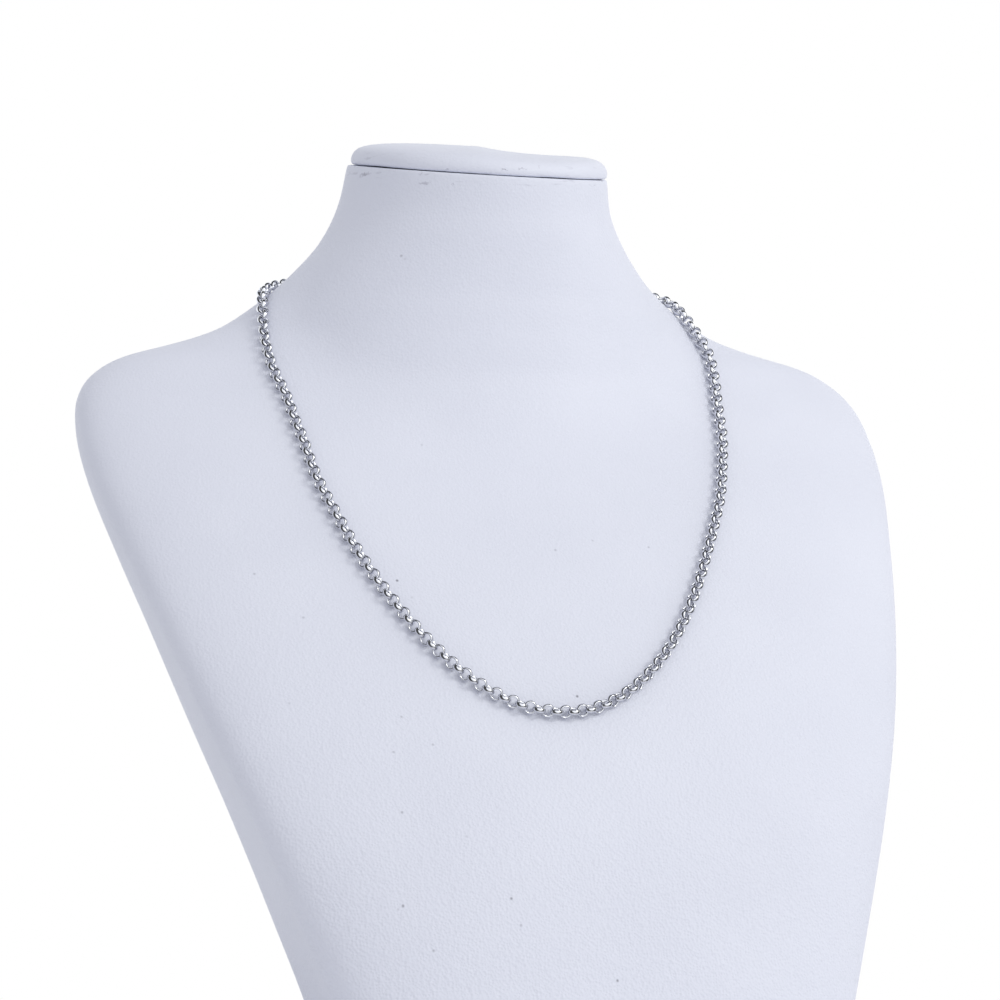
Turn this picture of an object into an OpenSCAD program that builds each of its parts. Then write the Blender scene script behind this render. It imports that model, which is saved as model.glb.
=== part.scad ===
// Rolo chain lying on a leatherette-covered neck bust.
// +Z is up and the bust faces -Y. The origin is on the floor, under the middle of the bust.

/* [Bust] */
// Height of the neck's top above the floor
bust_h = 290; // [250:1:340]
// Width over the shoulders
shoulder_w = 266; // [230:1:300]
// How far the foot stands forward of the neck
chest_lean = 126; // [90:1:150]
// How far the chest bulges forward of the side edges
chest_bulge = 28; // [20:1:40]
// How far the foot bulges behind the side edges
back_bulge = 138; // [110:1:160]
// Width of the neck at its top
neck_w = 85.5; // [76:0.5:100]
// Front to back size of the neck at its top
neck_d = 79; // [70:1:92]
// Forward slope of the neck's top, in degrees
neck_tilt = 8.5; // [0:0.5:14]
// Sideways slope of the neck's top, down towards the wearer's left, in degrees
neck_slant = 0.9; // [0:0.1:2]

/* [Neck cap] */
// Height of the cap at its middle
cap_h = 8; // [6:0.5:12]
// Height of the cap's upright side
cap_side = 2.5; // [2:0.5:4]
// Radius of the cap's lower edge
cap_round = 1; // [0.4:0.1:1]
// How far the cap's side stands in from the neck's edge
cap_inset = 0.5; // [0.5:0.5:3]
// How far the cap sits off the neck's middle, towards the wearer's left
cap_shift = 0.5; // [0:0.1:1]
// Open seam between the neck and the cap
seam_gap = 0.3; // [0.2:0.1:1]

/* [Chain] */
// Outer diameter of a link
link_d = 4; // [3.6:0.1:5]
// Thickness of a link, from its inner to its outer face
link_t = 0.52; // [0.45:0.01:0.65]
// Width of a link, along its axis
link_w = 1.05; // [0.9:0.05:1.2]
// Free play between two links, along the chain
link_play = 0.26; // [0.2:0.02:0.32]
// Gap between the links and the bust
rest_gap = 0.3; // [0.2:0.1:1]

/* [Clasp] */
// Length of the barrel
barrel_l = 9; // [6:0.5:14]
// Diameter of the barrel
barrel_d = 2.8; // [2:0.1:3]

/* [Hidden] */

// Sections of the chest and shoulders from the foot up. Columns: height as a share of bust_h,
// half width as a share of half of shoulder_w, then the place forward of the neck, the bulge in front
// and the bulge behind, as shares of chest_lean, chest_bulge and back_bulge.
TORSO = [
    [0.000, 0.53, 1.00, 0.83, 1.00],
    [0.070, 0.57, 0.975, 0.83, 0.97],
    [0.180, 0.655, 0.89, 0.83, 0.93],
    [0.293, 0.745, 0.785, 0.84, 0.88],
    [0.391, 0.825, 0.655, 0.86, 0.79],
    [0.495, 0.90, 0.482, 0.93, 0.66],
    [0.585, 0.96, 0.303, 1.00, 0.53],
    [0.653, 0.995, 0.168, 1.01, 0.43],
    [0.710, 0.997, 0.055, 0.94, 0.34],
    [0.743, 0.975, -0.003, 0.85, 0.29],
    [0.766, 0.93, -0.037, 0.77, 0.25],
    [0.786, 0.845, -0.056, 0.69, 0.217],
    [0.802, 0.70, -0.067, 0.60, 0.178],
    [0.817, 0.58, -0.075, 0.51, 0.14],
    [0.836, 0.48, -0.081, 0.42, 0.10],
    [0.851, 0.41, -0.084, 0.36, 0.08],
    [0.870, 0.325, -0.081, 0.28, 0.06],
    [0.890, 0.25, -0.074, 0.20, 0.045],
    [0.920, 0.17, -0.057, 0.12, 0.03],
    [0.960, 0.10, -0.035, 0.07, 0.02],
    [1.000, 0.04, -0.010, 0.04, 0.01]
];
// Sections of the neck, which flares into the chest. Columns: height as a share of bust_h, half width
// as a share of half of neck_w, then the depths in front and behind, as shares of half of neck_d.
NECK = [
    [0.000, 0.05, 0.03, 0.03],
    [0.495, 0.11, 0.06, 0.10],
    [0.585, 0.50, 0.22, 0.40],
    [0.653, 0.95, 0.45, 0.70],
    [0.710, 1.28, 0.79, 0.90],
    [0.755, 1.45, 0.985, 0.94],
    [0.788, 1.51, 1.09, 0.92],
    [0.817, 1.53, 1.14, 0.89],
    [0.839, 1.505, 1.16, 0.865],
    [0.861, 1.44, 1.167, 0.85],
    [0.884, 1.343, 1.165, 0.845],
    [0.912, 1.203, 1.15, 0.86],
    [0.952, 1.063, 1.105, 0.90],
    [1.000, 1.00, 1.055, 0.94]
];
WIDTH = 1;
LEAN = 2;
FRONT = 3;
BACK = 4;
NECK_FRONT = 2;
NECK_BACK = 3;
// Points of the chain's way round the neck, from the nape over the wearer's left shoulder, down to
// the chest and up again. Columns: angle round the section in degrees, height as a share of bust_h.
ROUTE = [
    [-90, 0.876],
    [-55, 0.875],
    [-30, 0.871],
    [-14, 0.866],
    [-4, 0.8602],
    [3.5, 0.8538],
    [8.5, 0.8465],
    [11.5, 0.8385],
    [13.5, 0.83],
    [16, 0.822],
    [20.5, 0.812],
    [26, 0.801],
    [32, 0.79],
    [37.5, 0.779],
    [43.5, 0.759],
    [50, 0.733],
    [56, 0.698],
    [60.5, 0.663],
    [63.5, 0.613],
    [66.5, 0.565],
    [70, 0.515],
    [74.5, 0.468],
    [80.5, 0.429],
    [87, 0.406],
    [93.5, 0.4],
    [100, 0.407],
    [106, 0.43],
    [111, 0.468],
    [114.5, 0.512],
    [117, 0.561],
    [119, 0.625],
    [121, 0.674],
    [125, 0.706],
    [130, 0.737],
    [136.5, 0.762],
    [142, 0.78],
    [147, 0.791],
    [153.5, 0.802],
    [159.5, 0.814],
    [164, 0.825],
    [168.5, 0.837],
    [173, 0.8475],
    [179, 0.8555],
    [186, 0.8605],
    [193, 0.8655],
    [201, 0.87],
    [215, 0.874],
    [240, 0.876]
];
// Powers of the curves that square off the chest and blend it with the neck
square_power = 2.5;
blend_power = 4;
// Share of the height above which the sections slope with the neck's top
tilt_from = 0.9;
// Points round a section, and rings in each stretch of the table of sections
ring_points = 72;
rings_per_row = 3;
// Rings over the cap's dome, and the power that squares its edge
dome_rings = 7;
dome_power = 3.2;
// Points worked out along the chain's way
route_steps = 700;
// Length of the way on each side of a point that eases it, and the places looked up in it
ease_reach = 5;
ease_each = 5;
// Turn of the links to either side of the bust's face
link_turn = 45;
// Facets of the round outlines, which stay true curves
round_fn = 24;

link_r = (link_d - link_t) / 2;
link_pitch = link_d - 2 * link_t - link_play;
// Reach of a turned link towards the bust, and the height of the chain's middle above the bust
link_reach = (link_r + (link_w - link_t) / 2) * sin(link_turn) + link_t / 2;
route_lift = rest_gap + link_reach;
// Distance between the clasp's two eyes
clasp_span = barrel_l + 2 * link_r;

function unit(v) = v / norm(v);
function row_below(table, x, i = 0) =
    i >= len(table) - 2 || x < table[i + 1][0] ? i : row_below(table, x, i + 1);
function rise(table, col, i) = (table[i + 1][col] - table[i][col]) / (table[i + 1][0] - table[i][0]);
// Slope of a table's column at a row, from the stretches on both sides of it
function row_slope(table, col, i) =
    i == 0 ? rise(table, col, 0)
    : i == len(table) - 1 ? rise(table, col, i - 1)
    : let (
        below = table[i][0] - table[i - 1][0],
        above = table[i + 1][0] - table[i][0]
    ) (rise(table, col, i - 1) * above + rise(table, col, i) * below) / (above + below);
// Smooth curve through a table's column
function column(table, col, x) =
    let (
        i = row_below(table, x),
        span = table[i + 1][0] - table[i][0],
        u = (x - table[i][0]) / span,
        start = table[i][col],
        end = table[i + 1][col],
        out = row_slope(table, col, i) * span,
        into = row_slope(table, col, i + 1) * span
    )
    start + out * u + (3 * (end - start) - 2 * out - into) * u ^ 2
        + (2 * (start - end) + out + into) * u ^ 3;

// Smooth maximum of the chest's and the neck's reach
function blend(pair) = (pair[0] ^ blend_power + pair[1] ^ blend_power) ^ (1 / blend_power);
// Sizes of the section at a height: its lean, the half widths of chest and neck, then the pairs of
// depths of chest and neck, in front and behind
function section(share) = [
    chest_lean * column(TORSO, LEAN, share),
    [shoulder_w * column(TORSO, WIDTH, share), neck_w * column(NECK, WIDTH, share)] / 2,
    [chest_bulge * column(TORSO, FRONT, share), neck_d / 2 * column(NECK, NECK_FRONT, share)],
    [back_bulge * column(TORSO, BACK, share), neck_d / 2 * column(NECK, NECK_BACK, share)]
];
function tilt_share(share) =
    let (u = max(0, (share - tilt_from) / (1 - tilt_from))) u ^ 2 * (3 - 2 * u);
// Point of a section's outline at an angle, 0 at the wearer's left and 90 in front
function outline(s, share, angle) =
    let (
        w = s[1],
        d = sin(angle) >= 0 ? s[2] : s[3],
        turn = atan2(blend(d) * sin(angle), blend(w) * cos(angle)),
        chest = (abs(cos(turn) / w[0]) ^ square_power + abs(sin(turn) / d[0]) ^ square_power)
            ^ (-1 / square_power),
        neck = 1 / norm([cos(turn) / w[1], sin(turn) / d[1]]),
        r = blend([chest, neck]),
        x = r * cos(turn),
        y = -s[0] - r * sin(turn)
    )
    [x, y, share * bust_h + (y * tan(neck_tilt) - x * tan(neck_slant)) * tilt_share(share)];
function bust_point(share, angle) = outline(section(share), share, angle);

ring_shares = [
    for (i = [0:len(TORSO) - 2], j = [0:rings_per_row - 1])
        TORSO[i][0] + (TORSO[i + 1][0] - TORSO[i][0]) * j / rings_per_row,
    1
];
angles = [for (i = [0:ring_points - 1]) i * 360 / ring_points];
bust_rings = [
    for (share = ring_shares)
        let (s = section(share)) [for (angle = angles) outline(s, share, angle)]
];
bust_depths = [for (ring = bust_rings, p = ring) p.y];
middle_y = (max(bust_depths) + min(bust_depths)) / 2;

// The cap's rings stand on the neck's top ring, each drawn in towards its middle
top_ring = bust_rings[len(bust_rings) - 1];
top_middle = (top_ring[0] + top_ring[ring_points / 2]) / 2;
top_normal = unit([tan(neck_slant), -tan(neck_tilt), 1]);
cap_middle = top_middle + cap_shift * [1, 0, -tan(neck_slant)];
cap_profile = [
    [cap_inset + cap_round, 0],
    [cap_inset + cap_round * (1 - sin(45)), cap_round * (1 - cos(45))],
    [cap_inset, cap_round],
    for (i = [0:dome_rings])
        let (share = 1 - sin(90 * i / (dome_rings + 1)) ^ 2)
        [
            cap_inset + (neck_w / 2 - cap_inset) * (1 - share),
            cap_side + (cap_h - cap_side) * (1 - share ^ dome_power) ^ (1 / dome_power)
        ]
];
cap_rings = [
    for (p = cap_profile)
        let (share = 1 - p[0] / (neck_w / 2), lift = (seam_gap + p[1]) * top_normal)
        [for (q = top_ring) cap_middle + (q - top_middle) * share + lift]
];

// Triangles of a skin over rings of equal length, closed at both ends
function skin_faces(rings, n) = [
    [for (i = [0:n - 1]) n - 1 - i],
    [for (i = [0:n - 1]) (rings - 1) * n + i],
    for (r = [0:rings - 2], i = [0:n - 1])
        let (a = r * n + i, b = r * n + (i + 1) % n)
        each [[a, b, b + n], [a, b + n, a + n]]
];
module skin(rings) {
    polyhedron([for (ring = rings, p = ring) p], skin_faces(len(rings), len(rings[0])));
}

function route_point(i) =
    let (turns = floor(i / len(ROUTE))) ROUTE[i - turns * len(ROUTE)] + [360 * turns, 0];
// Smooth curve through the points of the chain's way
function route_curve(u) =
    let (
        i = floor(u),
        f = u - i,
        a = route_point(i - 1),
        b = route_point(i),
        c = route_point(i + 1),
        d = route_point(i + 2)
    )
    b + (c - a) * f / 2 + (2 * a - 5 * b + 4 * c - d) * f ^ 2 / 2 + (3 * b - a - 3 * c + d) * f ^ 3 / 2;
// Outward direction of the bust's face, from two short steps along it
function face_normal(share, angle) =
    let (
        step = 0.0005,
        p = bust_point(share, angle),
        up = bust_point(share + step, angle) - p,
        round = bust_point(share, angle + 360 * step) - p
    )
    unit(cross(up, round));
route_spots = [for (i = [0:route_steps]) route_curve(i * len(ROUTE) / route_steps)];
face_normals = [for (q = route_spots) face_normal(q[1], q[0])];
face_points = [
    for (i = [0:route_steps])
        bust_point(route_spots[i][1], route_spots[i][0]) + route_lift * face_normals[i]
];

function steps(points) = [for (i = [1:route_steps]) norm(points[i] - points[i - 1])];
function added(values) =
    [for (i = 0, s = 0; i <= len(values); s = s + (i < len(values) ? values[i] : 0), i = i + 1) s];
// Tables of a list's three columns against the length along a closed way
function tables(points, values) =
    let (lengths = added(steps(points)))
    [for (k = [0:2]) [for (i = [0:route_steps]) [lengths[i], values[i][k]]]];
function way_length(tables) = tables[0][route_steps][0];
function value_at(tables, s) =
    let (whole = way_length(tables), t = s - whole * floor(s / whole))
    [for (table = tables) lookup(t, table)];
// Mean of the values round each place of a closed way, which eases its small bends
function eased(tables) = [
    for (i = [0:route_steps])
        let (s = way_length(tables) * i / route_steps)
        [for (k = [-ease_each:ease_each]) 1] * [
            for (k = [-ease_each:ease_each]) value_at(tables, s + k * ease_reach / ease_each)
        ] / (2 * ease_each + 1)
];
route_points = eased(tables(face_points, face_points));
route_normals = eased(tables(face_points, face_normals));
point_tables = tables(route_points, route_points);
normal_tables = tables(route_points, route_normals);
route_length = way_length(point_tables);
function way_point(s) = value_at(point_tables, s);
function way_normal(s) = unit(value_at(normal_tables, s));

// An odd number of links, so that both of the clasp's eyes lie across their neighbours
link_count = 2 * round(((route_length - clasp_span) / link_pitch - 2) / 2) + 1;
link_step = (route_length - clasp_span) / (link_count + 1);

// Places its children with X from the first point to the second, turned off the bust's face
module between(start, end, face, turn) {
    x = unit(end - start);
    n = unit(face - (face * x) * x);
    y = cos(turn) * n + sin(turn) * cross(x, n);
    z = cross(x, y);
    p = (start + end) / 2;
    multmatrix([[x.x, y.x, z.x, p.x], [x.y, y.y, z.y, p.y], [x.z, y.z, z.z, p.z], [0, 0, 0, 1]])
        children();
}

module in_place() {
    translate([0, -middle_y, 0]) children();
}

module ring() {
    flat = link_w - link_t;
    rotate_extrude($fn = round_fn)
        translate([link_r, 0]) {
            square([link_t, flat], center = true);
            for (side = [-1, 1])
                translate([0, side * flat / 2]) circle(d = link_t, $fn = round_fn);
        }
}

module bust_body() {
    color("whitesmoke") in_place() skin(bust_rings);
}

module neck_cap() {
    color("ghostwhite") in_place() skin(cap_rings);
}

module chain() {
    color("silver") in_place()
        for (i = [1:link_count]) {
            s = clasp_span / 2 + i * link_step;
            between(way_point(s - link_step / 2), way_point(s + link_step / 2), way_normal(s),
                i % 2 == 0 ? link_turn : -link_turn) ring();
        }
}

module clasp() {
    eye_x = clasp_span / 2;
    color("silver") in_place()
        between(way_point(-eye_x), way_point(eye_x), way_normal(0), link_turn) {
            rotate([0, 90, 0]) cylinder(h = barrel_l - barrel_d, d = barrel_d, center = true, $fn = round_fn);
            for (side = [-1, 1]) {
                translate([side * (barrel_l - barrel_d) / 2, 0, 0]) sphere(d = barrel_d, $fn = round_fn);
                translate([side * eye_x, 0, 0]) ring();
            }
        }
}

bust_body();
neck_cap();
chain();
clasp();
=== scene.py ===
import bmesh
import bpy
import numpy as np
from math import cos, radians, sin, tan, tau
from mathutils import Matrix, Vector, noise
from mathutils.bvhtree import BVHTree


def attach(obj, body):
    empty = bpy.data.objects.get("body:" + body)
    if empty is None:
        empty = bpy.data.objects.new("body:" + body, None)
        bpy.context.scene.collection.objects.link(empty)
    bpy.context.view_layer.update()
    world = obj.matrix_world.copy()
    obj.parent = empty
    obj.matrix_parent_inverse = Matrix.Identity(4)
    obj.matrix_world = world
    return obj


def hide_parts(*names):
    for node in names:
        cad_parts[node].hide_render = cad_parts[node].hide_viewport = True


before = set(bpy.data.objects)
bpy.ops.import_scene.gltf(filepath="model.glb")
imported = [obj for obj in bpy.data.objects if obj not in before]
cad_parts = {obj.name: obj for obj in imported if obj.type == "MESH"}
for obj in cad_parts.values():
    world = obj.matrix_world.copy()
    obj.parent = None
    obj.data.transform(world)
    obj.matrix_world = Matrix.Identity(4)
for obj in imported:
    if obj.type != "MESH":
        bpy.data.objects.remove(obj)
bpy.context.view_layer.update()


# The bust: a moulded form of neck, shoulders and chest, wrapped in one skin of white leatherette that is
# turned in over the rims of the neck and the foot. Handling has left a few scuffs and specks on it.
MM = 0.001
WELD = 1e-6
NECK_RIM = 0.0007
# The neck's top isn't level: it falls a little to the wearer's left and more towards the front.
NECK_SLANT, NECK_TILT = radians(0.9), radians(8.5)
NECK_TOP = Vector((tan(NECK_SLANT), -tan(NECK_TILT), 1)).normalized()
# Faces turned to a flat end, by the cosine of their angle to it, merge into one with many corners. The
# triangles of the sides pair into quads within the two angles.
FLAT = 0.9998
MANY_SIDES = 30
SMOOTH_TURN, SQUARE_SKEW = radians(50), radians(80)
SKIN_WHITE = "#E4E7F3"
SKIN_SHADE = "#DCDFEC"
SCUFF = "#8F8D9D"
SPECK = "#3C3843"
SKIN_ROUGH, SKIN_SHINE = 0.52, 0.2
# Broad waves of shade lie this far apart.
WAVE_SIZE = 0.0357
# The grain is deepest low on the chest and is pulled flatter over the shoulders and the neck.
GRAIN_SIZE = 0.0009
GRAIN_UNEVEN = 0.9
CREASE_SIZE = 0.00225
GRAIN_DEPTH = 0.00024
GRAIN_LOW, GRAIN_HIGH = 0.75, 0.3
LOW_CHEST, SHOULDERS = 0.06, 0.20
# Rubs along the neck's rim: where they thin out, how long and high they are and how many show.
RUB_NEAR, RUB_FAR = 0.0015, 0.0055
RUB_LONG, RUB_HIGH = 0.00625, 0.0014286
RUB_FROM, RUB_FULL = 0.62, 0.74
RUB_DARKNESS = 0.35
# A fine noise shifts the scuffs' edges by up to about this much, so that they look frayed.
FRAY_SIZE = 0.0011111
FRAY = (0.0012, 0.0012, 0.0006)
SPECK_R = 0.0006
# The marks are charted, read off the photo, in millimetres across and up the front.
# Specks go by how dark they are.
SPECKS = {
    0.2: [(-64, 62), (-42, 82), (16, 168.5), (-46, 151), (-88, 120), (-32, 198.5), (-33, 258)],
    0.35: [(-60, 106), (-48, 108), (-56, 116), (-29, 57), (-92, 158), (-80, 145), (3, 165.5), (34, 166.5)],
    0.45: [(-60, 89), (-55, 50.5), (-34, 259)],
    0.7: [(-62.5, 63), (-31, 64.5), (-2, 41)],
    0.9: [(-49.5, 156), (-1, 121.5)]}
# Each scuff: across, up, half its length, half its height and how dark it is. The last four are on the cap.
SCUFFS = [
    (-41.5, 286.5, 4.0, 0.8, 0.7), (-28.5, 285, 1.4, 0.4, 0.4), (-27.5, 282, 2.1, 0.6, 0.6),
    (-19.5, 281, 0.8, 0.5, 0.6), (-21.5, 286, 1.2, 0.4, 0.8), (-3.5, 286, 0.9, 0.4, 1.0),
    (2, 286.5, 1.9, 0.3, 0.6), (8, 287.5, 1.0, 1.0, 0.4)]
# Marks above this height, at the top of the neck's front, take their depth from the neck there.
NECK_FRONT = 0.2835


# An sRGB hex value as linear red, green, blue and alpha.
def linear(code):
    shares = [int(code[i:i + 2], 16) / 255 for i in (1, 3, 5)]
    return [s / 12.92 if s <= 0.04045 else ((s + 0.055) / 1.055) ** 2.4 for s in shares] + [1.0]


# Inputs go by name, with an underscore for each space, or by number, such as _0.
def add_node(tree, kind, settings=None, **inputs):
    node = tree.nodes.new(kind)
    for name, value in (settings or {}).items():
        setattr(node, name, value)
    for name, value in inputs.items():
        socket = int(name[1:]) if name[1:].isdigit() else name.replace("_", " ")
        if isinstance(value, bpy.types.NodeSocket):
            tree.links.new(value, node.inputs[socket])
        else:
            node.inputs[socket].default_value = value
    return node


def new_material(name):
    material = bpy.data.materials.new(name)
    material.use_nodes = True
    tree = material.node_tree
    tree.nodes.clear()
    return material, tree


# A solid's loose triangles, joined at their corners.
def merged_copy(node):
    mesh = bmesh.new()
    mesh.from_mesh(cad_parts[node].data)
    bmesh.ops.remove_doubles(mesh, verts=mesh.verts, dist=WELD)
    return mesh


def finish_piece(name, mesh, material, slot, *stands_for):
    data = bpy.data.meshes.new(name)
    mesh.to_mesh(data)
    mesh.free()
    data.shade_smooth()
    data.materials.append(material)
    piece = bpy.data.objects.new(name, data)
    bpy.context.scene.collection.objects.link(piece)
    smooth = piece.modifiers.new("smooth", "SUBSURF")
    smooth.levels = smooth.render_levels = 1
    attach(piece, "root")
    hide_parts(*stands_for)


# A solid as its skin follows it: each flat end one face, quads round the sides and soft rims.
def wrapped_form(node, rim, flat_ends):
    mesh = merged_copy(node)
    for outward in flat_ends:
        flat = [f for f in mesh.faces if f.normal.dot(outward) > FLAT]
        bmesh.ops.dissolve_faces(mesh, faces=flat)
    sides = [f for f in mesh.faces if len(f.verts) == 3]
    bmesh.ops.join_triangles(
        mesh, faces=sides, angle_face_threshold=SMOOTH_TURN, angle_shape_threshold=SQUARE_SKEW)
    rims = [e for f in mesh.faces if len(f.verts) > MANY_SIDES for e in f.edges]
    bmesh.ops.bevel(
        mesh, geom=rims, offset=rim, segments=2, profile=0.5, affect="EDGES", material=-1)
    return mesh


bust_mesh = wrapped_form("bust_body", NECK_RIM, [Vector((0, 0, -1)), NECK_TOP])
rim_height = max(NECK_TOP.dot(v.co) for v in bust_mesh.verts)

leatherette, skin = new_material("white PU leatherette, embossed fine grain")
# Embossed polyurethane on cloth: cool white, satin, with a pebbled grain. Grey scuffs lie along the neck's
# rim, where the cap is taken off and put back, and a few dark specks on the chest.
place = add_node(skin, "ShaderNodeTexCoord").outputs["Object"]
waves = add_node(skin, "ShaderNodeTexNoise", Vector=place, Scale=1 / WAVE_SIZE, Detail=3.0)
colour = add_node(
    skin, "ShaderNodeMix", {"data_type": "RGBA"},
    _0=waves.outputs["Fac"], _6=linear(SKIN_WHITE), _7=linear(SKIN_SHADE)).outputs["Result"]
risen = add_node(skin, "ShaderNodeVectorMath", {"operation": "DOT_PRODUCT"}, _0=place, _1=NECK_TOP)
above = add_node(
    skin, "ShaderNodeMath", {"operation": "SUBTRACT"}, _0=risen.outputs["Value"], _1=rim_height)
off_rim = add_node(skin, "ShaderNodeMath", {"operation": "ABSOLUTE"}, _0=above.outputs["Value"])
near_rim = add_node(
    skin, "ShaderNodeMapRange", Value=off_rim.outputs["Value"],
    From_Min=RUB_NEAR, From_Max=RUB_FAR, To_Min=1.0, To_Max=0.0)
drawn_out = add_node(
    skin, "ShaderNodeMapping", Vector=place, Scale=(1 / RUB_LONG, 1 / RUB_LONG, 1 / RUB_HIGH))
rubs = add_node(skin, "ShaderNodeTexNoise", Vector=drawn_out.outputs["Vector"], Scale=1.0, Detail=4.0)
rubbed = add_node(
    skin, "ShaderNodeMapRange", Value=rubs.outputs["Fac"],
    From_Min=RUB_FROM, From_Max=RUB_FULL, To_Min=0.0, To_Max=RUB_DARKNESS)
scuffed = add_node(
    skin, "ShaderNodeMath", {"operation": "MULTIPLY"},
    _0=near_rim.outputs["Result"], _1=rubbed.outputs["Result"])
colour = add_node(
    skin, "ShaderNodeMix", {"data_type": "RGBA"},
    _0=scuffed.outputs["Value"], _6=colour, _7=linear(SCUFF)).outputs["Result"]
worn = add_node(
    skin, "ShaderNodeTexNoise", {"normalize": False}, Vector=place, Scale=1 / FRAY_SIZE, Detail=2.0)
ragged = add_node(
    skin, "ShaderNodeVectorMath", {"operation": "MULTIPLY_ADD"},
    _0=worn.outputs["Color"], _1=FRAY, _2=place).outputs["Vector"]
surface = BVHTree.FromBMesh(bust_mesh)


# A mark is darkest at its own spot on the surface, found from the front, and fades out around it.
def add_mark(colour, where, across, up, darkness, length, height, tint):
    start = Vector((across * MM, -1, min(up * MM, NECK_FRONT)))
    deep = surface.ray_cast(start, Vector((0, 1, 0)))[0].y
    spot = (across * MM, deep, up * MM)
    squeeze = (1 / length, 1 / length, 1 / height)
    from_spot = add_node(
        skin, "ShaderNodeVectorMath", {"operation": "MULTIPLY_ADD"},
        _0=where, _1=squeeze, _2=[-c * k for c, k in zip(spot, squeeze)])
    away = add_node(
        skin, "ShaderNodeVectorMath", {"operation": "LENGTH"}, _0=from_spot.outputs["Vector"])
    dot = add_node(
        skin, "ShaderNodeMapRange", Value=away.outputs["Value"],
        From_Min=0.0, From_Max=1.0, To_Min=darkness, To_Max=0.0)
    return add_node(
        skin, "ShaderNodeMix", {"data_type": "RGBA"},
        _0=dot.outputs["Result"], _6=colour, _7=linear(tint)).outputs["Result"]


for across, up, length, high, darkness in SCUFFS:
    colour = add_mark(colour, ragged, across, up, darkness, length * MM, high * MM, SCUFF)
for darkness, places in SPECKS.items():
    for across, up in places:
        colour = add_mark(colour, place, across, up, darkness, SPECK_R, SPECK_R, SPECK)
pebbles = add_node(
    skin, "ShaderNodeTexVoronoi", Vector=place, Scale=1 / GRAIN_SIZE, Randomness=GRAIN_UNEVEN)
creases = add_node(skin, "ShaderNodeTexNoise", Vector=place, Scale=1 / CREASE_SIZE, Detail=2.0)
grain = add_node(
    skin, "ShaderNodeMath", {"operation": "ADD"},
    _0=pebbles.outputs["Distance"], _1=creases.outputs["Fac"])
level = add_node(skin, "ShaderNodeSeparateXYZ", Vector=place)
depth = add_node(
    skin, "ShaderNodeMapRange", Value=level.outputs["Z"],
    From_Min=LOW_CHEST, From_Max=SHOULDERS, To_Min=GRAIN_LOW, To_Max=GRAIN_HIGH)
relief = add_node(
    skin, "ShaderNodeBump", Height=grain.outputs["Value"], Strength=depth.outputs["Result"],
    Distance=GRAIN_DEPTH)
wrap = add_node(
    skin, "ShaderNodeBsdfPrincipled", Base_Color=colour, Roughness=SKIN_ROUGH,
    Specular_IOR_Level=SKIN_SHINE, Normal=relief.outputs["Normal"])
add_node(skin, "ShaderNodeOutputMaterial", Surface=wrap.outputs["BSDF"])

finish_piece("bust", bust_mesh, leatherette, "white_leatherette", "bust_body")


# The cap: a small domed disc under the same leatherette, pinned into the neck's open top. Its edge is
# turned under and puckered: it all but rests on the neck and leaves a dark seam open in two places. Its
# crown has sunk a little in a shallow trough from front to back.
CAP_EDGE = 0.0002
EDGE_DEPTH = 0.003
SAG = 0.00023
PUCKER = 0.00011
PUCKER_WIDTH = 0.00625
# Where the seam stands open, and how far around each place.
SEAM_OPEN = [(Vector((-0.0395, 0.0380)), 0.018), (Vector((0.0125, 0.0125)), 0.007)]
# The trough: the way across it, how far off the middle it runs, half its width and its depth.
TROUGH_ACROSS = Vector((0.954, -0.301))
TROUGH_AT = 0.003
TROUGH_HALF = 0.018
TROUGH_DEPTH = 0.0014
CROWN_RINGS = 3
RING_WIDTH = 0.009

cap_mesh = wrapped_form("neck_cap", CAP_EDGE, [NECK_TOP, -NECK_TOP])
cap_height = max(NECK_TOP.dot(v.co) for v in cap_mesh.verts) - rim_height
flat_faces = [f for f in cap_mesh.faces if len(f.verts) > MANY_SIDES]
crown = max(flat_faces, key=lambda f: NECK_TOP.dot(f.calc_center_median()))
for ring in range(CROWN_RINGS):
    bmesh.ops.inset_individual(
        cap_mesh, faces=[crown], thickness=RING_WIDTH, use_even_offset=True)
for vert in cap_mesh.verts:
    raised = NECK_TOP.dot(vert.co) - rim_height
    near_edge = max(0.0, 1 - raised / EDGE_DEPTH)
    rest = min(min(1.0, (vert.co.xy - spot).length / reach) for spot, reach in SEAM_OPEN)
    in_trough = max(0.0, 1 - ((vert.co.xy.dot(TROUGH_ACROSS) - TROUGH_AT) / TROUGH_HALF) ** 2)
    vert.co.z -= near_edge * (SAG * rest + PUCKER * noise.noise(vert.co / PUCKER_WIDTH))
    vert.co.z -= TROUGH_DEPTH * in_trough * raised / cap_height
finish_piece("cap", cap_mesh, leatherette, "white_leatherette", "neck_cap")


# The chain: round links bent from half-round stainless wire, flat side in, each formed through the last,
# closed, soldered and tumbled to a mirror polish. Every link keeps the place of its solid.
LINK_STEPS = 14
# Corners of the wire's section, out from the link's middle and along its axis, in millimetres. They lie a
# little outside the wire, because smoothing draws them in.
LINK_SECTION = [
    (2.13, 0.0), (2.06, 0.50), (1.74, 0.84), (1.37, 0.55), (1.37, -0.55), (1.74, -0.84), (2.06, -0.50)]
STEEL = "#DADBE1"
# Real tumbling marks are too fine to show, so these are drawn coarser.
TUMBLE_SIZE = 0.000625
TUMBLE_FAINT, TUMBLE_CLEAR = 0.35, 0.75
TUMBLE_STRENGTH, TUMBLE_DEPTH = 0.12, 0.00004
POLISHED, HAZY = 0.04, 0.12

steel, shine = new_material("polished stainless steel")
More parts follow.
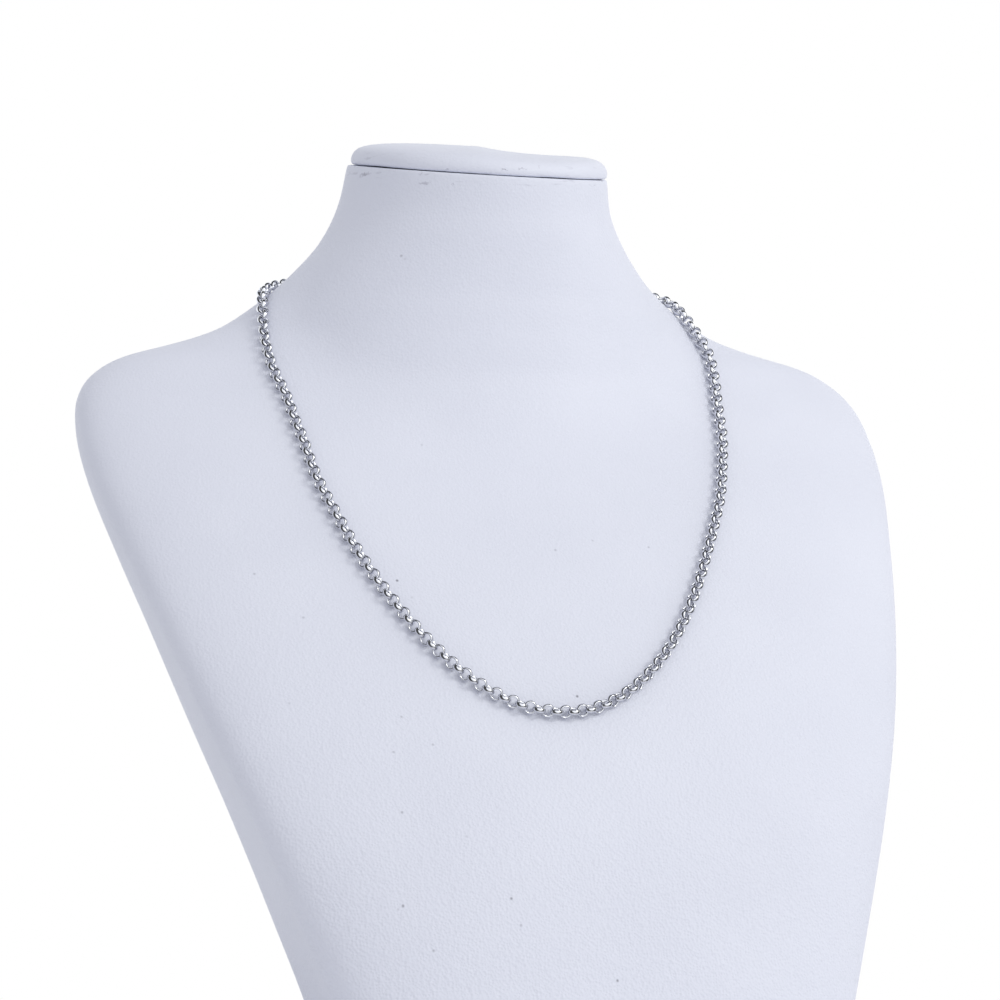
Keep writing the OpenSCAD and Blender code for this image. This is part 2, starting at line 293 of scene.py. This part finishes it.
# Mirror-polished stainless: neutral grey metal with faint tumbling marks that soften its reflections.
place = add_node(shine, "ShaderNodeTexCoord").outputs["Object"]
marks = add_node(shine, "ShaderNodeTexNoise", Vector=place, Scale=1 / TUMBLE_SIZE, Detail=3.0)
haze = add_node(
    shine, "ShaderNodeMapRange", Value=marks.outputs["Fac"],
    From_Min=TUMBLE_FAINT, From_Max=TUMBLE_CLEAR, To_Min=POLISHED, To_Max=HAZY)
dents = add_node(
    shine, "ShaderNodeBump", Height=marks.outputs["Fac"], Strength=TUMBLE_STRENGTH,
    Distance=TUMBLE_DEPTH)
metal = add_node(
    shine, "ShaderNodeBsdfPrincipled", Base_Color=linear(STEEL), Metallic=1.0,
    Roughness=haze.outputs["Result"], Normal=dents.outputs["Normal"])
add_node(shine, "ShaderNodeOutputMaterial", Surface=metal.outputs["BSDF"])


# The corners of each solid in a mesh, as one group for each.
def separate_solids(mesh):
    solids, seen = [], set()
    for start in mesh.verts:
        if start in seen:
            continue
        group, waiting = [], [start]
        seen.add(start)
        while waiting:
            vert = waiting.pop()
            group.append(vert)
            for edge in vert.link_edges:
                other = edge.other_vert(vert)
                if other not in seen:
                    seen.add(other)
                    waiting.append(other)
        solids.append(group)
    return solids


# Where a solid lies: at the middle of its corners, its longest way along x and its shortest along z.
def axes_of(points):
    spread = np.array([list(v.co) for v in points])
    middle = spread.mean(0)
    lengths, ways = np.linalg.eigh(np.cov((spread - middle).T))
    side, across, along = (Vector(ways[:, k]) for k in range(3))
    if along.cross(across).dot(side) < 0:
        side = -side
    turn = Matrix((along, across, side)).transposed().to_4x4()
    return Matrix.Translation(Vector(middle)) @ turn


def link_mesh():
    # Smoothing draws a ring of so many corners in to this share of its radius.
    drawn_in = 3 / 4 + cos(tau / LINK_STEPS) / 4
    mesh = bmesh.new()
    corners = [mesh.verts.new((r * MM / drawn_in, 0, z * MM)) for r, z in LINK_SECTION]
    outline = [mesh.edges.new((corners[i - 1], corners[i])) for i in range(len(corners))]
    bmesh.ops.spin(
        mesh, geom=corners + outline, cent=(0, 0, 0), axis=(0, 0, 1), angle=tau,
        steps=LINK_STEPS, use_merge=True)
    bmesh.ops.remove_doubles(mesh, verts=mesh.verts, dist=WELD)
    bmesh.ops.recalc_face_normals(mesh, faces=mesh.faces)
    shape = bpy.data.meshes.new("link")
    mesh.to_mesh(shape)
    mesh.free()
    return shape


def add_at(mesh, shape, place):
    count = len(mesh.verts)
    mesh.from_mesh(shape)
    mesh.verts.ensure_lookup_table()
    bmesh.ops.transform(mesh, matrix=place, verts=mesh.verts[count:])


link = link_mesh()
solid_links = merged_copy("chain")
links = bmesh.new()
for solid in separate_solids(solid_links):
    add_at(links, link, axes_of(solid))
solid_links.free()
finish_piece("chain_links", links, steel, "polished_steel", "chain")


# The catch: a small turned barrel behind the neck with a soldered eye at each end. The end links of the
# chain hang in its eyes.
BARREL_HALF = 0.0045
BARREL_R = 0.0014
BARREL_STEPS = 24
EYE_OUT = 0.00174
# From the barrel's end to its middle: share of the radius and share of half the length.
BARREL_PROFILE = [
    (0.0, 1.0), (0.35, 0.99), (0.7, 0.93), (0.9, 0.86), (1.0, 0.76), (1.0, 0.70), (0.93, 0.68),
    (0.93, 0.62), (1.0, 0.60), (1.0, 0.30), (1.0, 0.0)]

barrel = bmesh.new()
whole = BARREL_PROFILE + [(r, -x) for r, x in BARREL_PROFILE[-2::-1]]
spots = [barrel.verts.new((x * BARREL_HALF, r * BARREL_R, 0)) for r, x in whole]
run = [barrel.edges.new(pair) for pair in zip(spots, spots[1:])]
bmesh.ops.spin(
    barrel, geom=spots + run, cent=(0, 0, 0), axis=(1, 0, 0), angle=tau, steps=BARREL_STEPS,
    use_merge=True)
bmesh.ops.remove_doubles(barrel, verts=barrel.verts, dist=WELD)
bmesh.ops.recalc_face_normals(barrel, faces=barrel.faces)
for side in (-1, 1):
    add_at(barrel, link, Matrix.Translation((side * (BARREL_HALF + EYE_OUT), 0, 0)))
solid_clasp = merged_copy("clasp")
bmesh.ops.transform(barrel, matrix=axes_of(solid_clasp.verts), verts=barrel.verts)
solid_clasp.free()
finish_piece("catch", barrel, steel, "polished_steel", "clasp")


# The floor: a plain round table top in matt white. Only its middle shows, under the foot, and it fades out
# around that into the white room.
FLOOR_R = 0.9
FLOOR_SIDES = 64
FLOOR_WHITE = "#F8F8FA"
FADE_MIDDLE = (0, -0.03, 0)
FADE_FROM, FADE_TO = 0.12, 0.26

floor_paint, paint = new_material("matt white table paint")
# Matt emulsion: even and dull. It thins out around the foot, so that no edge shows against the room.
place = add_node(paint, "ShaderNodeTexCoord").outputs["Object"]
reach = add_node(
    paint, "ShaderNodeVectorMath", {"operation": "DISTANCE"}, _0=place, _1=FADE_MIDDLE)
fade = add_node(
    paint, "ShaderNodeMapRange", {"interpolation_type": "SMOOTHSTEP"}, Value=reach.outputs["Value"],
    From_Min=FADE_FROM, From_Max=FADE_TO, To_Min=1.0, To_Max=0.0)
matt = add_node(paint, "ShaderNodeBsdfDiffuse", Color=linear(FLOOR_WHITE))
clear = add_node(paint, "ShaderNodeBsdfTransparent")
mixed = add_node(
    paint, "ShaderNodeMixShader", _0=fade.outputs["Result"], _1=clear.outputs["BSDF"],
    _2=matt.outputs["BSDF"])
add_node(paint, "ShaderNodeOutputMaterial", Surface=mixed.outputs["Shader"])

top = bmesh.new()
bmesh.ops.create_circle(top, cap_ends=True, radius=FLOOR_R, segments=FLOOR_SIDES)
floor_mesh = bpy.data.meshes.new("floor")
top.to_mesh(floor_mesh)
top.free()
floor_mesh.materials.append(floor_paint)
floor = bpy.data.objects.new("floor", floor_mesh)
bpy.context.scene.collection.objects.link(floor)


# The studio: a white backdrop behind the bust and a pale room, dimmer behind it on the wearer's right,
# that lights the leatherette. What the polished links mirror is a white screen over the camera and the
# backdrop, with a dark stretch between.
BACKDROP = 1.0
ROOM = 0.77
SCREEN = 1.3
DARK = 0.08
# Directions are told apart by the cosine of their angle to these two sides of the room.
SCREEN_SIDE = Vector((0.1, -0.9, 0.42)).normalized()
BELT_AT, BELT_HALF, BELT_EDGE = 0.2, 0.42, 0.52
DIM_SIDE = Vector((-0.8, 0.6, 0))
DIM_FROM, DIM_FULL = 0.3, 0.8
DIMMED = 0.58
ROOM_TINT = (0.965, 0.97, 1, 1)
SCREEN_TINT = (0.96, 0.98, 1, 1)
LAMP_TINT = (1, 0.99, 0.92)
LAMP_AIM = Vector((0, 0, 0.2))

studio = bpy.data.worlds.new("studio")
bpy.context.scene.world = studio
studio.use_nodes = True
air = studio.node_tree
air.nodes.clear()
rays = add_node(air, "ShaderNodeLightPath").outputs
way = add_node(air, "ShaderNodeTexCoord").outputs["Generated"]
facing = add_node(air, "ShaderNodeVectorMath", {"operation": "DOT_PRODUCT"}, _0=way, _1=SCREEN_SIDE)
off_belt = add_node(
    air, "ShaderNodeMath", {"operation": "SUBTRACT"}, _0=facing.outputs["Value"], _1=BELT_AT)
from_belt = add_node(air, "ShaderNodeMath", {"operation": "ABSOLUTE"}, _0=off_belt.outputs["Value"])
screens = add_node(
    air, "ShaderNodeMapRange", Value=from_belt.outputs["Value"],
    From_Min=BELT_HALF, From_Max=BELT_EDGE, To_Min=DARK, To_Max=SCREEN)
sideways = add_node(air, "ShaderNodeVectorMath", {"operation": "DOT_PRODUCT"}, _0=way, _1=DIM_SIDE)
walls = add_node(
    air, "ShaderNodeMapRange", Value=sideways.outputs["Value"],
    From_Min=DIM_FROM, From_Max=DIM_FULL, To_Min=ROOM, To_Max=DIMMED)
room = add_node(
    air, "ShaderNodeBackground", Color=ROOM_TINT, Strength=walls.outputs["Result"])
mirrored = add_node(
    air, "ShaderNodeBackground", Color=SCREEN_TINT, Strength=screens.outputs["Result"])
backdrop = add_node(air, "ShaderNodeBackground", Color=(1, 1, 1, 1), Strength=BACKDROP)
light = add_node(
    air, "ShaderNodeMixShader", _0=rays["Is Glossy Ray"], _1=room.outputs["Background"],
    _2=mirrored.outputs["Background"])
both = add_node(
    air, "ShaderNodeMixShader", _0=rays["Is Camera Ray"], _1=light.outputs["Shader"],
    _2=backdrop.outputs["Background"])
add_node(air, "ShaderNodeOutputWorld", Surface=both.outputs["Shader"])


def soft_window(name, azimuth, height, distance, size, power):
    lamp = bpy.data.lights.new(name, "AREA")
    lamp.color = LAMP_TINT
    lamp.shape = "RECTANGLE"
    lamp.size, lamp.size_y = size
    lamp.energy = power
    turn = radians(azimuth)
    holder = bpy.data.objects.new(name, lamp)
    holder.location = (sin(turn) * distance, -cos(turn) * distance, height)
    aim = LAMP_AIM - holder.location
    holder.rotation_euler = aim.to_track_quat("-Z", "Y").to_euler()
    bpy.context.scene.collection.objects.link(holder)


soft_window("key", azimuth=40, height=1.0, distance=1.2, size=(0.6, 0.6), power=6.2)
soft_window("right_side", azimuth=80, height=0.5, distance=1.2, size=(0.8, 1.0), power=0.9)

bpy.context.scene.view_settings.view_transform = "Standard"


# The camera: a long lens at the height of the chest, to the wearer's right of the bust's middle. It looks
# at a point inside the chest, straight under the neck, and turns a little aside from it.
AZIMUTH = radians(-17.5)
ELEVATION = radians(-1.6)
DISTANCE = 1.1417
IN_CHEST = Vector((0, 0.05096, 0.1827))
AIM_ASIDE = 0.00718
SENSOR = 36
LENS = 126.0
NEAREST, FARTHEST = 0.05, 20

away = Vector((sin(AZIMUTH) * cos(ELEVATION), -cos(AZIMUTH) * cos(ELEVATION), sin(ELEVATION)))
aside = Vector((cos(AZIMUTH), sin(AZIMUTH), 0))
lens = bpy.data.cameras.new("camera")
lens.sensor_width = SENSOR
lens.lens = LENS
lens.clip_start, lens.clip_end = NEAREST, FARTHEST
camera = bpy.data.objects.new("camera", lens)
camera.location = IN_CHEST + away * DISTANCE
camera.rotation_mode = "QUATERNION"
aim = IN_CHEST + aside * AIM_ASIDE - camera.location
camera.rotation_quaternion = aim.to_track_quat("-Z", "Y")
bpy.context.scene.collection.objects.link(camera)
bpy.context.scene.camera = camera

bpy.context.view_layer.update()
